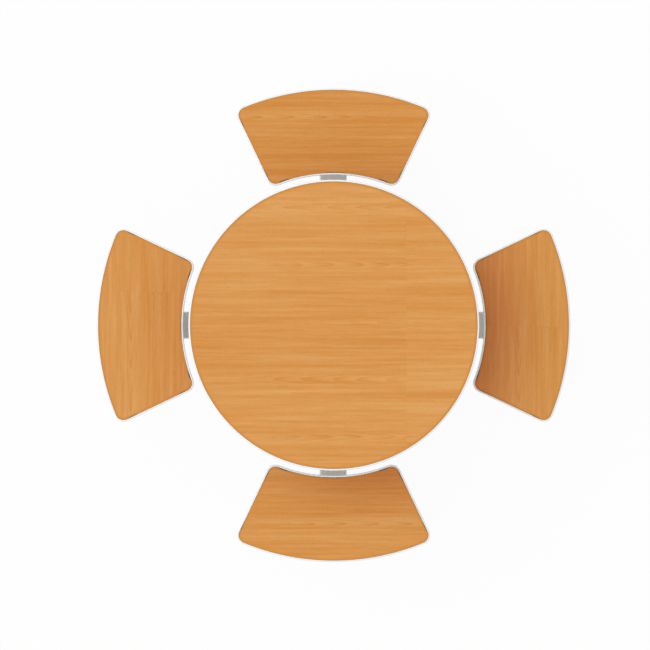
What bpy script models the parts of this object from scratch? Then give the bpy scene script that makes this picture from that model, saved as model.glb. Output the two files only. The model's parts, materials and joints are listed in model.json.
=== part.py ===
"""Round dining table with four bench seats, carried by one steel frame.

A square centre column holds the round top on a pressed spider. Four box-section beams are bolted to the
column at floor level. Each beam turns up in a mitred post that carries one bench, and stands on a cross bar
with two levelling feet. The boards are laminated panels with a T-section edging pressed into a groove.

Units are metres, +Z is up, and the origin is on the floor under the middle of the table.
Bench 1 is built along +X. Benches 2, 3 and 4 are the same pieces turned by quarter turns.
"""

import math

import bmesh
import bpy
from mathutils import Matrix, Vector

# Driving dimensions: boards and their edging
TABLE_RADIUS = 0.500
TABLE_HEIGHT = 0.740
TABLE_BOARD = 0.025
SEAT_HEIGHT = 0.450
SEAT_BOARD = 0.025
SEAT_GAP = 0.036
SEAT_DEPTH = 0.308
SEAT_HALF_ANGLE = math.radians(25.5)
SEAT_SIDE_INSET = 0.008
SEAT_CORNER = 0.035
EDGE_FACE = 0.0060
EDGE_EASE = 0.0030
TONGUE_LENGTH = 0.009
TONGUE_THICKNESS = 0.0024

# Driving dimensions: centre column, head plate and spider
COLUMN_SIDE = 0.100
COLUMN_WALL = 0.003
HEAD_PLATE = 0.008
HEAD_PLATE_RADIUS = 0.092
HEAD_BOLT_RADIUS = 0.072
SPIDER_SHEET = 0.004
SPIDER_HUB_RADIUS = 0.115
SPIDER_MARGIN = 0.120
SPIDER_ROOT_WIDTH = 0.072
SPIDER_TIP_WIDTH = 0.044
SPIDER_HUB_DEPTH = 0.028
SPIDER_TIP_DEPTH = 0.010
TABLE_SCREW_INSETS = (0.022, 0.130)

# Driving dimensions: beams, posts and the brackets that bolt them to the column
BEAM_WIDTH = 0.100
BEAM_HEIGHT = 0.050
BEAM_WALL = 0.003
POST_DEPTH = 0.050
BRACKET_PLATE = 0.008
BRACKET_RISE = 0.112
GUSSET_THICKNESS = 0.006
GUSSET_REACH = 0.120
GUSSET_NOSE = 0.014
BOLT_HALF_SPACING = 0.025
BOLT_HEIGHTS = (0.028, 0.086)

# Driving dimensions: seat plates
SEAT_PLATE_LENGTH = 0.420
SEAT_PLATE_WIDTH = 0.150
SEAT_PLATE_SHEET = 0.004
SEAT_PLATE_RIM = 0.020
SEAT_PLATE_CORNER = 0.030
SEAT_SCREW_HALF_LENGTH = 0.175
SEAT_SCREW_HALF_WIDTH = 0.052

# Driving dimensions: cross bars, caps and levelling feet
FOOT_BAR_LENGTH = 0.440
FOOT_BAR_WIDTH = 0.060
FOOT_BAR_HEIGHT = 0.030
FOOT_BAR_WALL = 0.0025
FOOT_INSET = 0.032
CAP_HEAD = 0.004
CAP_PLUG = 0.014
PAD_RADIUS = 0.022
PAD_BOSS_RADIUS = 0.010
PAD_HEIGHT = 0.013
PAD_FLOOR = 0.005
PAD_RIM = 0.005
HEX_ACROSS_FLATS = 0.017
HEX_HEIGHT = 0.006
STEM_RADIUS = 0.005
NUT_RADIUS = 0.009
NUT_HEIGHT = 0.010
FOOT_TRAVEL = 0.012

# Holes and clearances
BOLT_HOLE_RADIUS = 0.0055
SCREW_HOLE_RADIUS = 0.0032
FIT = 0.0003
RUNNING_GAP = 0.0006
OVERCUT = 0.002
WELD = 1e-6
FLAT = math.radians(0.05)

# Facets of round shapes
TABLE_SEGMENTS = 56
SEAT_OUTER_SEGMENTS = 10
SEAT_INNER_SEGMENTS = 7
SEAT_CORNER_SEGMENTS = 4
TUBE_CORNER_SEGMENTS = 3
HUB_SEGMENTS = 32
HUB_ARC_SEGMENTS = 6
TIP_SEGMENTS = 6
PAD_SEGMENTS = 12
STEM_SEGMENTS = 10
HOLE_SEGMENTS = 8
SCREW_SEGMENTS = 6

# Places that follow from the driving dimensions
SEAT_INNER_RADIUS = TABLE_RADIUS + SEAT_GAP
SEAT_OUTER_RADIUS = SEAT_INNER_RADIUS + SEAT_DEPTH
POST_RADIUS = (SEAT_INNER_RADIUS + SEAT_OUTER_RADIUS) / 2
POST_OUTER = POST_RADIUS + POST_DEPTH / 2
FOOT_BAR_BOTTOM = PAD_HEIGHT + FIT + HEX_HEIGHT + FIT
BEAM_BOTTOM = FOOT_BAR_BOTTOM + FOOT_BAR_HEIGHT + FIT
BEAM_TOP = BEAM_BOTTOM + BEAM_HEIGHT
BRACKET_FACE = COLUMN_SIDE / 2 + FIT
BEAM_START = BRACKET_FACE + BRACKET_PLATE + FIT
SEAT_PLATE_TOP = SEAT_HEIGHT - SEAT_BOARD - FIT
POST_TOP = SEAT_PLATE_TOP - SEAT_PLATE_SHEET - FIT
SPIDER_TOP = TABLE_HEIGHT - TABLE_BOARD - FIT
SPIDER_REACH = TABLE_RADIUS - SPIDER_MARGIN
HEAD_PLATE_TOP = SPIDER_TOP - SPIDER_SHEET - FIT
COLUMN_TOP = HEAD_PLATE_TOP - HEAD_PLATE - FIT
FOOT_OFFSET = FOOT_BAR_LENGTH / 2 - FOOT_INSET
STEM_TOP = FOOT_BAR_BOTTOM + FOOT_BAR_WALL + NUT_HEIGHT + FOOT_TRAVEL

BENCHES = (1, 2, 3, 4)
FEET = (("a", 1), ("b", -1))
TO_PLUS_X = Matrix(((0, 0, 1, 0), (1, 0, 0, 0), (0, 1, 0, 0), (0, 0, 0, 1)))
TO_PLUS_Y = Matrix(((1, 0, 0, 0), (0, 0, 1, 0), (0, -1, 0, 0), (0, 0, 0, 1)))


def clear_scene():
    """Empties the file and makes one collection for the pieces."""
    for old in list(bpy.data.objects):
        bpy.data.objects.remove(old)
    parts = bpy.data.collections.new("round_bench_table")
    bpy.context.scene.collection.children.link(parts)
    return parts


def make_material(name, colour, roughness, metallic=0.0):
    material = bpy.data.materials.new(name)
    material.use_nodes = True
    shader = material.node_tree.nodes["Principled BSDF"]
    shader.inputs["Base Color"].default_value = (*colour, 1.0)
    shader.inputs["Roughness"].default_value = roughness
    shader.inputs["Metallic"].default_value = metallic
    return material


# Modelling helpers: each returns a mesh that belongs to no object yet


def circle(radius, segments, centre=(0.0, 0.0)):
    """Points of a circle, anticlockwise."""
    turns = [2 * math.pi * i / segments for i in range(segments)]
    return [(centre[0] + radius * math.cos(t), centre[1] + radius * math.sin(t)) for t in turns]


def arc(centre, radius, start, end, segments):
    """Points of an arc from one angle to another, both ends included."""
    angles = [start + (end - start) * i / segments for i in range(segments + 1)]
    return [(centre[0] + radius * math.cos(t), centre[1] + radius * math.sin(t)) for t in angles]


def rounded_rectangle(width, height, radius, segments=TUBE_CORNER_SEGMENTS):
    """Outline of a rectangle about the origin with four round corners."""
    points = []
    for quarter, (sx, sy) in enumerate(((1, 1), (-1, 1), (-1, -1), (1, -1))):
        centre = (sx * (width / 2 - radius), sy * (height / 2 - radius))
        start = quarter * math.pi / 2
        points += arc(centre, radius, start, start + math.pi / 2, segments)
    return points


def mesh_of(obj):
    """The evaluated mesh of a temporary object, welded, flat faces merged. The object is removed."""
    bpy.context.view_layer.update()
    graph = bpy.context.evaluated_depsgraph_get()
    mesh = bpy.data.meshes.new_from_object(obj.evaluated_get(graph))
    bpy.data.objects.remove(obj)
    shape = bmesh.new()
    shape.from_mesh(mesh)
    bmesh.ops.remove_doubles(shape, verts=shape.verts, dist=WELD)
    bmesh.ops.dissolve_limit(shape, angle_limit=FLAT, verts=shape.verts, edges=shape.edges)
    bmesh.ops.recalc_face_normals(shape, faces=shape.faces)
    shape.to_mesh(mesh)
    shape.free()
    return mesh


def temporary(data):
    obj = bpy.data.objects.new("temporary", data)
    bpy.context.scene.collection.objects.link(obj)
    return obj


def flat_curve(outline):
    """A 2D curve with one closed spline."""
    curve = bpy.data.curves.new("outline", "CURVE")
    curve.dimensions = "2D"
    spline = curve.splines.new("POLY")
    spline.points.add(len(outline) - 1)
    for point, (x, y) in zip(spline.points, outline):
        point.co = (x, y, 0.0, 1.0)
    spline.use_cyclic_u = True
    return curve


def prism(outline, bottom, top):
    """A plate or bar with this outline in X and Y, from one height to another."""
    curve = flat_curve(outline)
    curve.fill_mode = "BOTH"
    curve.extrude = (top - bottom) / 2
    mesh = mesh_of(temporary(curve))
    mesh.transform(Matrix.Translation((0, 0, (top + bottom) / 2)))
    return mesh


def swept(path, profile):
    """A closed profile (outwards, upwards) carried once round a closed path.

    On a closed 2D curve the bevel object's +X points inwards, so the profile is mirrored here.
    """
    section = temporary(flat_curve([(-x, y) for x, y in profile]))
    curve = flat_curve(path)
    curve.fill_mode = "NONE"
    curve.bevel_mode = "OBJECT"
    curve.bevel_object = section
    mesh = mesh_of(temporary(curve))
    bpy.data.objects.remove(section)
    return mesh


def turned(profile, segments, closed=False):
    """A profile (radius, height) turned about Z. It runs down its outer side."""
    shape = bmesh.new()
    verts = [shape.verts.new((radius, 0.0, height)) for radius, height in profile]
    ends = zip(verts, verts[1:] + verts[:1]) if closed else zip(verts, verts[1:])
    for pair in ends:
        shape.edges.new(pair)
    mesh = bpy.data.meshes.new("turned")
    shape.to_mesh(mesh)
    shape.free()
    obj = temporary(mesh)
    screw = obj.modifiers.new("turn", "SCREW")
    screw.steps = screw.render_steps = segments
    screw.use_merge_vertices = True
    screw.merge_threshold = 0.0001
    return mesh_of(obj)


def rod(radius, bottom, top, segments, centre=(0.0, 0.0)):
    """A plain upright cylinder, or with six segments a hexagon with a corner at +X."""
    shape = bmesh.new()
    bmesh.ops.create_cone(
        shape, cap_ends=True, segments=segments, radius1=radius, radius2=radius, depth=top - bottom
    )
    bmesh.ops.translate(shape, verts=shape.verts, vec=(*centre, (top + bottom) / 2))
    mesh = bpy.data.meshes.new("rod")
    shape.to_mesh(mesh)
    shape.free()
    return mesh


def combined(first, second, operation):
    """Boolean of two closed meshes."""
    target, tool = temporary(first), temporary(second)
    boolean = target.modifiers.new("boolean", "BOOLEAN")
    boolean.operation = operation
    boolean.object = tool
    mesh = mesh_of(target)
    bpy.data.objects.remove(tool)
    return mesh


def joined(first, second):
    return combined(first, second, "UNION")


def cut(first, second):
    return combined(first, second, "DIFFERENCE")


def drilled(mesh, places, radius, bottom, top, segments=HOLE_SEGMENTS):
    """The mesh with upright holes at these places."""
    for place in places:
        mesh = cut(mesh, rod(radius, bottom, top, segments, place))
    return mesh


def box_tube(width, height, wall, length):
    """Rectangular hollow section along Z, from zero, with rounded corners."""
    outer = rounded_rectangle(width, height, 2 * wall)
    inner = rounded_rectangle(width - 2 * wall, height - 2 * wall, wall)
    return cut(prism(outer, 0.0, length), prism(inner, -OVERCUT, length + OVERCUT))


def bend_end(mesh, is_end, move):
    """Moves the points of one end, as a saw cut at an angle does."""
    for vertex in mesh.vertices:
        if is_end(vertex.co):
            vertex.co = move(vertex.co)
    mesh.update()
    return mesh


# Boards and edging


def seat_outline(inset):
    """Outline of a bench, this far inside its outer edge: an annular sector with rounded corners."""
    outer, inner = SEAT_OUTER_RADIUS - inset, SEAT_INNER_RADIUS + inset
    corner, side = SEAT_CORNER - inset, SEAT_SIDE_INSET + inset
    along = Vector((math.cos(SEAT_HALF_ANGLE), math.sin(SEAT_HALF_ANGLE)))
    outwards = Vector((-along.y, along.x))
    depth = side + corner

    def corner_centre(distance):
        return along * math.sqrt(distance**2 - depth**2) - outwards * depth

    far, near = corner_centre(outer - corner), corner_centre(inner + corner)
    far_angle, near_angle = math.atan2(far.y, far.x), math.atan2(near.y, near.x)
    side_angle = SEAT_HALF_ANGLE + math.pi / 2
    far_arc = arc(far, corner, far_angle, side_angle, SEAT_CORNER_SEGMENTS)
    near_arc = arc(near, corner, side_angle, near_angle + math.pi, SEAT_CORNER_SEGMENTS)
    rim = arc((0, 0), outer, -far_angle, far_angle, SEAT_OUTER_SEGMENTS)
    front = arc((0, 0), inner, near_angle, -near_angle, SEAT_INNER_SEGMENTS)
    upper = far_arc[1:] + near_arc[:-1]
    lower = [(x, -y) for x, y in reversed(upper)]
    return rim + upper + front + lower


def edging_profile(thickness):
    """Section of the T edging: a crowned face and a tongue, measured outwards from the board's edge."""
    half, tongue = thickness / 2, TONGUE_THICKNESS / 2
    return [
        (FIT, -half),
        (EDGE_FACE - EDGE_EASE, -half),
        (EDGE_FACE, -half + EDGE_EASE),
        (EDGE_FACE, half - EDGE_EASE),
        (EDGE_FACE - EDGE_EASE, half),
        (FIT, half),
        (FIT, tongue),
        (-TONGUE_LENGTH, tongue),
        (-TONGUE_LENGTH, -tongue),
        (FIT, -tongue),
    ]


def groove_size():
    """Depth of the board's groove and half its height, with room for the tongue."""
    return TONGUE_LENGTH + FIT, TONGUE_THICKNESS / 2 + FIT


def table_board():
    edge = TABLE_RADIUS - EDGE_FACE
    top, bottom = TABLE_HEIGHT, TABLE_HEIGHT - TABLE_BOARD
    middle = (top + bottom) / 2
    depth, half = groove_size()
    profile = [
        (0.0, top),
        (edge, top),
        (edge, middle + half),
        (edge - depth, middle + half),
        (edge - depth, middle - half),
        (edge, middle - half),
        (edge, bottom),
        (0.0, bottom),
    ]
    return turned(profile, TABLE_SEGMENTS)


def table_edging():
    edge = TABLE_RADIUS - EDGE_FACE
    middle = TABLE_HEIGHT - TABLE_BOARD / 2
    section = [(edge + x, middle + z) for x, z in reversed(edging_profile(TABLE_BOARD))]
    return turned(section, TABLE_SEGMENTS, closed=True)


def seat_board():
    edge = seat_outline(EDGE_FACE)
    board = prism(edge, -SEAT_BOARD / 2, SEAT_BOARD / 2)
    depth, half = groove_size()
    groove = [(-depth, -half), (OVERCUT, -half), (OVERCUT, half), (-depth, half)]
    board = cut(board, swept(edge, groove))
    board.transform(Matrix.Translation((0, 0, SEAT_HEIGHT - SEAT_BOARD / 2)))
    return board


def seat_edging():
    edging = swept(seat_outline(EDGE_FACE), edging_profile(SEAT_BOARD))
    edging.transform(Matrix.Translation((0, 0, SEAT_HEIGHT - SEAT_BOARD / 2)))
    return edging


# Centre column, head plate and spider


def bolt_places():
    """Places of the bolts through one bracket: sideways from its middle, and height."""
    return [(side * BOLT_HALF_SPACING, BEAM_TOP + up) for up in BOLT_HEIGHTS for side in (1, -1)]


def centre_column():
    column = box_tube(COLUMN_SIDE, COLUMN_SIDE, COLUMN_WALL, COLUMN_TOP - BEAM_BOTTOM)
    column.transform(Matrix.Translation((0, 0, BEAM_BOTTOM)))
    reach = COLUMN_SIDE / 2 + OVERCUT
    for along in (TO_PLUS_X, TO_PLUS_Y):
        for side, height in bolt_places():
            hole = rod(BOLT_HOLE_RADIUS, -reach, reach, HOLE_SEGMENTS)
            hole.transform(along)
            across = (0, side) if along is TO_PLUS_X else (side, 0)
            hole.transform(Matrix.Translation((*across, height)))
            column = cut(column, hole)
    return column


def column_base_cap():
    inside = COLUMN_SIDE - 2 * COLUMN_WALL - 2 * FIT
    head = prism(rounded_rectangle(COLUMN_SIDE, COLUMN_SIDE, 2 * COLUMN_WALL), -CAP_HEAD, 0.0)
    plug = prism(rounded_rectangle(inside, inside, COLUMN_WALL), -CAP_HEAD / 2, CAP_PLUG)
    cap = joined(head, plug)
    cap.transform(Matrix.Translation((0, 0, BEAM_BOTTOM - FIT)))
    return cap


def head_bolt_places():
    return circle(HEAD_BOLT_RADIUS, 4)


def column_head_plate():
    low, high = HEAD_PLATE_TOP - HEAD_PLATE, HEAD_PLATE_TOP
    plate = prism(circle(HEAD_PLATE_RADIUS, HUB_SEGMENTS), low, high)
    return drilled(plate, head_bolt_places(), BOLT_HOLE_RADIUS, low - OVERCUT, high + OVERCUT)


def spider_outline(inset):
    """Hub and four tapering arms on the diagonals, this far inside the outer edge."""
    root, tip, hub = SPIDER_ROOT_WIDTH / 2 - inset, SPIDER_TIP_WIDTH / 2 - inset, SPIDER_HUB_RADIUS - inset
    end = SPIDER_REACH - SPIDER_TIP_WIDTH / 2
    taper = (root - tip) / end
    square = 1 + taper**2
    start = (taper * root + math.sqrt(square * hub**2 - root**2)) / square
    spread = math.atan2(root - taper * start, start)
    points = []
    for quarter in range(4):
        middle = math.pi / 4 + quarter * math.pi / 2
        centre = (end * math.cos(middle), end * math.sin(middle))
        points += arc(centre, tip, middle - math.pi / 2, middle + math.pi / 2, TIP_SEGMENTS)
        points += arc((0, 0), hub, middle + spread, middle + math.pi / 2 - spread, HUB_ARC_SEGMENTS)
    return points


def table_screw_places():
    angles = [math.pi / 4 + quarter * math.pi / 2 for quarter in range(4)]
    return [
        ((SPIDER_REACH - inset) * math.cos(angle), (SPIDER_REACH - inset) * math.sin(angle))
        for angle in angles
        for inset in TABLE_SCREW_INSETS
    ]


def table_spider():
    """Pressed sheet: a flat cross whose turned-down rim gets shallower towards the tips."""
    lowest = SPIDER_TOP - SPIDER_HUB_DEPTH
    shell = cut(
        prism(spider_outline(0.0), lowest, SPIDER_TOP),
        prism(spider_outline(SPIDER_SHEET), lowest - OVERCUT, SPIDER_TOP - SPIDER_SHEET),
    )
    slope = (SPIDER_HUB_DEPTH - SPIDER_TIP_DEPTH) / (SPIDER_REACH - SPIDER_HUB_RADIUS)
    for vertex in shell.vertices:
        if vertex.co.z < lowest + OVERCUT:
            vertex.co.z += slope * max(0.0, vertex.co.xy.length - SPIDER_HUB_RADIUS)
    low, high = SPIDER_TOP - SPIDER_SHEET - OVERCUT, SPIDER_TOP + OVERCUT
    shell = drilled(shell, head_bolt_places(), BOLT_HOLE_RADIUS, low, high)
    return drilled(shell, table_screw_places(), SCREW_HOLE_RADIUS, low, high, SCREW_SEGMENTS)


# Bench frames: beam, post, bracket and seat plate


def beam():
    """Box section from the column out to the mitre under the post."""
    length = POST_OUTER - BEAM_START
    tube = box_tube(BEAM_WIDTH, BEAM_HEIGHT, BEAM_WALL, length)
    tube.transform(Matrix.Translation((BEAM_START, 0, BEAM_BOTTOM + BEAM_HEIGHT / 2)) @ TO_PLUS_X)
    lean = POST_DEPTH / BEAM_HEIGHT

    def mitred(point):
        return Vector((POST_OUTER - lean * (point.z - BEAM_BOTTOM) - 2 * FIT, point.y, point.z))

    return bend_end(tube, lambda point: point.x > BEAM_START + length / 2, mitred)


def post():
    """Box section from the mitre up to the seat plate."""
    length = POST_TOP - BEAM_BOTTOM
    tube = box_tube(POST_DEPTH, BEAM_WIDTH, BEAM_WALL, length)
    tube.transform(Matrix.Translation((POST_RADIUS, 0, BEAM_BOTTOM)))
    lean = BEAM_HEIGHT / POST_DEPTH

    def mitred(point):
        return Vector((point.x, point.y, BEAM_BOTTOM + lean * (POST_OUTER - point.x)))

    return bend_end(tube, lambda point: point.z < BEAM_BOTTOM + length / 2, mitred)


def bracket():
    """End plate with four bolt holes and a gusset that runs out along the top of the beam."""
    low, high = BEAM_BOTTOM, BEAM_TOP + BRACKET_RISE
    half = COLUMN_SIDE / 2
    near, far = BRACKET_FACE, BRACKET_FACE + BRACKET_PLATE
    plate = prism([(-half, low), (half, low), (half, high), (-half, high)], near, far)
    plate = drilled(plate, bolt_places(), BOLT_HOLE_RADIUS, near - OVERCUT, far + OVERCUT)
    plate.transform(TO_PLUS_X)
    root, foot, outer = (near + far) / 2, BEAM_TOP + FIT, far + GUSSET_REACH
    web = [
        (root, foot),
        (outer, foot),
        (outer, foot + GUSSET_NOSE),
        (far + GUSSET_NOSE, high - GUSSET_NOSE),
        (root, high - GUSSET_NOSE),
    ]
    gusset = prism(web, -GUSSET_THICKNESS / 2, GUSSET_THICKNESS / 2)
    gusset.transform(Matrix.Rotation(math.pi / 2, 4, "X"))
    return joined(plate, gusset)


def seat_screw_places():
    return [
        (POST_RADIUS + across * SEAT_SCREW_HALF_WIDTH, along * SEAT_SCREW_HALF_LENGTH)
        for across in (1, -1)
        for along in (-1, 0, 1)
    ]


def seat_plate():
    """Pressed pan under the bench: flat top, turned-down rim, six screw holes."""
    inner_corner = SEAT_PLATE_CORNER - SEAT_PLATE_SHEET
    outline = rounded_rectangle(SEAT_PLATE_WIDTH, SEAT_PLATE_LENGTH, SEAT_PLATE_CORNER)
    hollow = rounded_rectangle(
        SEAT_PLATE_WIDTH - 2 * SEAT_PLATE_SHEET, SEAT_PLATE_LENGTH - 2 * SEAT_PLATE_SHEET, inner_corner
    )
    low = SEAT_PLATE_TOP - SEAT_PLATE_RIM
    pan = cut(
        prism(outline, low, SEAT_PLATE_TOP),
        prism(hollow, low - OVERCUT, SEAT_PLATE_TOP - SEAT_PLATE_SHEET),
    )
    pan.transform(Matrix.Translation((POST_RADIUS, 0, 0)))
    return drilled(pan, seat_screw_places(), SCREW_HOLE_RADIUS, low, SEAT_PLATE_TOP + OVERCUT, SCREW_SEGMENTS)


# Cross bars, caps and levelling feet


def foot_bar():
    """Cross bar under the post, with a weld nut inside over each foot."""
    tube = box_tube(FOOT_BAR_WIDTH, FOOT_BAR_HEIGHT, FOOT_BAR_WALL, FOOT_BAR_LENGTH)
    middle = FOOT_BAR_BOTTOM + FOOT_BAR_HEIGHT / 2
    tube.transform(Matrix.Translation((POST_RADIUS, -FOOT_BAR_LENGTH / 2, middle)) @ TO_PLUS_Y)
    floor = FOOT_BAR_BOTTOM + FOOT_BAR_WALL
    nut_top = floor + NUT_HEIGHT
    places = [(POST_RADIUS, side * FOOT_OFFSET) for _, side in FEET]
    for place in places:
        tube = joined(tube, rod(NUT_RADIUS, floor - FOOT_BAR_WALL / 2, nut_top, STEM_SEGMENTS, place))
    bore = STEM_RADIUS + RUNNING_GAP
    return drilled(tube, places, bore, FOOT_BAR_BOTTOM - OVERCUT, nut_top + OVERCUT, STEM_SEGMENTS)


def foot_bar_cap(side):
    """Plastic plug that closes one end of a cross bar."""
    width, height = FOOT_BAR_WIDTH, FOOT_BAR_HEIGHT
    room = 2 * FOOT_BAR_WALL + 2 * FIT
    head = prism(rounded_rectangle(width, height, 2 * FOOT_BAR_WALL, 2), FIT, FIT + CAP_HEAD)
    plug = rounded_rectangle(width - room, height - room, FOOT_BAR_WALL, 2)
    plug = prism(plug, -CAP_PLUG, FIT + CAP_HEAD / 2)
    cap = joined(head, plug)
    cap.transform(TO_PLUS_Y)
    if side < 0:
        cap.transform(Matrix.Rotation(math.pi, 4, "Z"))
    middle = FOOT_BAR_BOTTOM + FOOT_BAR_HEIGHT / 2
    cap.transform(Matrix.Translation((POST_RADIUS, side * FOOT_BAR_LENGTH / 2, middle)))
    return cap


def foot_pad():
    """Round glide with a socket for the spindle's end, about its own axis."""
    socket = STEM_RADIUS + RUNNING_GAP
    ease = PAD_RIM / 4
    profile = [
        (0.0, PAD_FLOOR),
        (socket, PAD_FLOOR),
        (socket, PAD_HEIGHT),
        (PAD_BOSS_RADIUS, PAD_HEIGHT),
        (PAD_RADIUS, PAD_RIM),
        (PAD_RADIUS, ease),
        (PAD_RADIUS - ease, 0.0),
        (0.0, 0.0),
    ]
    return turned(profile, PAD_SEGMENTS)


def foot_spindle():
    """Threaded stem with an adjusting hexagon, about its own axis."""
    stem = rod(STEM_RADIUS, PAD_FLOOR + FIT, STEM_TOP, STEM_SEGMENTS)
    hexagon_radius = HEX_ACROSS_FLATS / math.sqrt(3)
    low = PAD_HEIGHT + FIT
    return joined(stem, rod(hexagon_radius, low, low + HEX_HEIGHT, 6))


# Assembly


def add_piece(parts, name, mesh, material, parent=None, place=(0, 0, 0), smooth_angle=math.radians(40)):
    mesh.shade_smooth()
    mesh.set_sharp_from_angle(angle=smooth_angle)
    if not mesh.materials:
        mesh.materials.append(material)
    obj = bpy.data.objects.new(name, mesh)
    obj.parent = parent
    obj.location = place
    parts.objects.link(obj)
    return obj


def add_centre(parts, laminate, edging, steel, plastic):
    add_piece(parts, "table_top", table_board(), laminate)
    add_piece(parts, "table_edging", table_edging(), edging)
    add_piece(parts, "table_spider", table_spider(), steel)
    add_piece(parts, "column_head_plate", column_head_plate(), steel)
    add_piece(parts, "centre_column", centre_column(), steel)
    add_piece(parts, "column_base_cap", column_base_cap(), plastic)


def add_benches(parts, laminate, edging, steel, plastic, zinc):
    """Four benches that share their meshes, each under an empty turned to its side of the table."""
    shared = [
        ("seat_board", seat_board(), laminate),
        ("seat_edging", seat_edging(), edging),
        ("seat_plate", seat_plate(), steel),
        ("seat_post", post(), steel),
        ("seat_beam", beam(), steel),
        ("beam_bracket", bracket(), steel),
        ("foot_bar", foot_bar(), steel),
    ]
    caps = {side: foot_bar_cap(side) for _, side in FEET}
    pad, spindle = foot_pad(), foot_spindle()
    for number in BENCHES:
        bench = bpy.data.objects.new(f"bench_{number}", None)
        bench.rotation_euler.z = (number - 1) * math.pi / 2
        parts.objects.link(bench)
        for name, mesh, material in shared:
            add_piece(parts, f"{name}_{number}", mesh, material, bench)
        for letter, side in FEET:
            axis = (POST_RADIUS, side * FOOT_OFFSET, 0.0)
            add_piece(parts, f"foot_bar_cap_{number}{letter}", caps[side], plastic, bench)
            add_piece(parts, f"foot_pad_{number}{letter}", pad, plastic, bench, axis)
            add_piece(parts, f"foot_spindle_{number}{letter}", spindle, zinc, bench, axis)


def main():
    parts = clear_scene()
    laminate = make_material("beech_laminate", (0.67, 0.30, 0.07), 0.45)
    edging = make_material("cool_white_edging", (0.78, 0.84, 0.89), 0.36)
    steel = make_material("silver_coated_steel", (0.71, 0.72, 0.69), 0.42, 0.25)
    plastic = make_material("dark_grey_plastic", (0.045, 0.046, 0.05), 0.52)
    zinc = make_material("zinc_plated_steel", (0.60, 0.60, 0.57), 0.30, 1.0)
    add_centre(parts, laminate, edging, steel, plastic)
    add_benches(parts, laminate, edging, steel, plastic, zinc)


if __name__ == "__main__":
    main()
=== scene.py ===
"""Looks of a round dining table with four bench seats, laid out as a Blender add-on.

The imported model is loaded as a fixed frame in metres. Each operator below dresses one piece or one group of
like pieces: laminated panels, edging, steel frame, weld beads, fasteners, plastic caps and levelling feet.
The stage operator adds the floor, the light and the camera that looks straight down.
"""

import json
import math

import bmesh
import bpy
from mathutils import Matrix, Vector


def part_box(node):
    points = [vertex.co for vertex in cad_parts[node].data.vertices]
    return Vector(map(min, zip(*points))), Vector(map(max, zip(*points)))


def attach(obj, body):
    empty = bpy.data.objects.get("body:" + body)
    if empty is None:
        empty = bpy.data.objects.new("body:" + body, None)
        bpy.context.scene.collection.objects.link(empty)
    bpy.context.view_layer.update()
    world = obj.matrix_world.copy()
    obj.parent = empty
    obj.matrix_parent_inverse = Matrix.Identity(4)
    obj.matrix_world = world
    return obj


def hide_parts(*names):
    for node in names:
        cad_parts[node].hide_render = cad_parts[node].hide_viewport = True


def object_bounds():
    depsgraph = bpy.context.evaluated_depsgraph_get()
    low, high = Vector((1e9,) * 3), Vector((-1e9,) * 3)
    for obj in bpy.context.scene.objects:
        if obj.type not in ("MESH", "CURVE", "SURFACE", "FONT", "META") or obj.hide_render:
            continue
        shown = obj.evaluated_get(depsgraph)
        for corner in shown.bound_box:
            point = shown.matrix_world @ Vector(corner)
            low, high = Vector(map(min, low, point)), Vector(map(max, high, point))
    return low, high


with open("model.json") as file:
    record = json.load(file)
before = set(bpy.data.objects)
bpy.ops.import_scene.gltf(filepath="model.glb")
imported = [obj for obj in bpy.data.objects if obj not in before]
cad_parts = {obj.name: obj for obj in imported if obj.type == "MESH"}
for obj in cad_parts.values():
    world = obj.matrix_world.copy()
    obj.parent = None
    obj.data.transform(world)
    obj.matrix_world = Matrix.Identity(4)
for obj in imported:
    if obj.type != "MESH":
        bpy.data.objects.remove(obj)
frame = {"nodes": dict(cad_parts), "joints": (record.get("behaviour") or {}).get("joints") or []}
CAD_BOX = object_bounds()

bl_info = {
    "name": "Round bench table",
    "version": (1, 0, 0),
    "blender": (4, 5, 0),
    "location": "View3D > Sidebar > Bench table",
    "description": "Dresses a round table with four bench seats: panels, edging, steel frame and feet",
    "category": "Object",
}

BENCHES = (1, 2, 3, 4)
FEET = tuple(f"{bench}{letter}" for bench in BENCHES for letter in "ab")
TABLE_LOW, TABLE_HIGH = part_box("table_edging")
BOARD_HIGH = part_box("table_top")[1]
SEAT_LOW, SEAT_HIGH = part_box("seat_edging_1")
BEAM_LOW, BEAM_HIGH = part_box("seat_beam_1")
POST_LOW, POST_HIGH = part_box("seat_post_1")
PLATE_LOW, PLATE_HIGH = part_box("beam_bracket_1")
COLUMN_LOW, COLUMN_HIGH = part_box("centre_column")
HEAD_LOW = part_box("column_head_plate")[0]
PAN_LOW, PAN_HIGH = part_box("seat_plate_1")
SPIDER_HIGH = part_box("table_spider")[1]
BAR_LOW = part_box("foot_bar_1")[0]
GLIDE_LOW, GLIDE_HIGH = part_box("foot_pad_1a")
STEM_LOW, STEM_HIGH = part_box("foot_spindle_1a")
FOOT_TRAVEL = max(joint["range_m"][1] for joint in frame["joints"] if joint["type"] == "slide")


def number(name, default, description, **limits):
    """A plain number."""
    return bpy.props.FloatProperty(name=name, description=description, default=default, **limits)


def length(name, default, description):
    """A size in metres."""
    return number(name, default, description, unit="LENGTH", precision=4)


def share(name, default, description):
    """A number between nought and one."""
    return number(name, default, description, min=0.0, max=1.0)


def angle(name, degrees, description):
    """An angle, given in degrees."""
    return number(name, math.radians(degrees), description, subtype="ANGLE")


def colour(name, default, description):
    """A scene-linear colour."""
    return bpy.props.FloatVectorProperty(
        name=name, description=description, default=default, subtype="COLOR", size=3, min=0.0, max=1.0
    )


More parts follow.
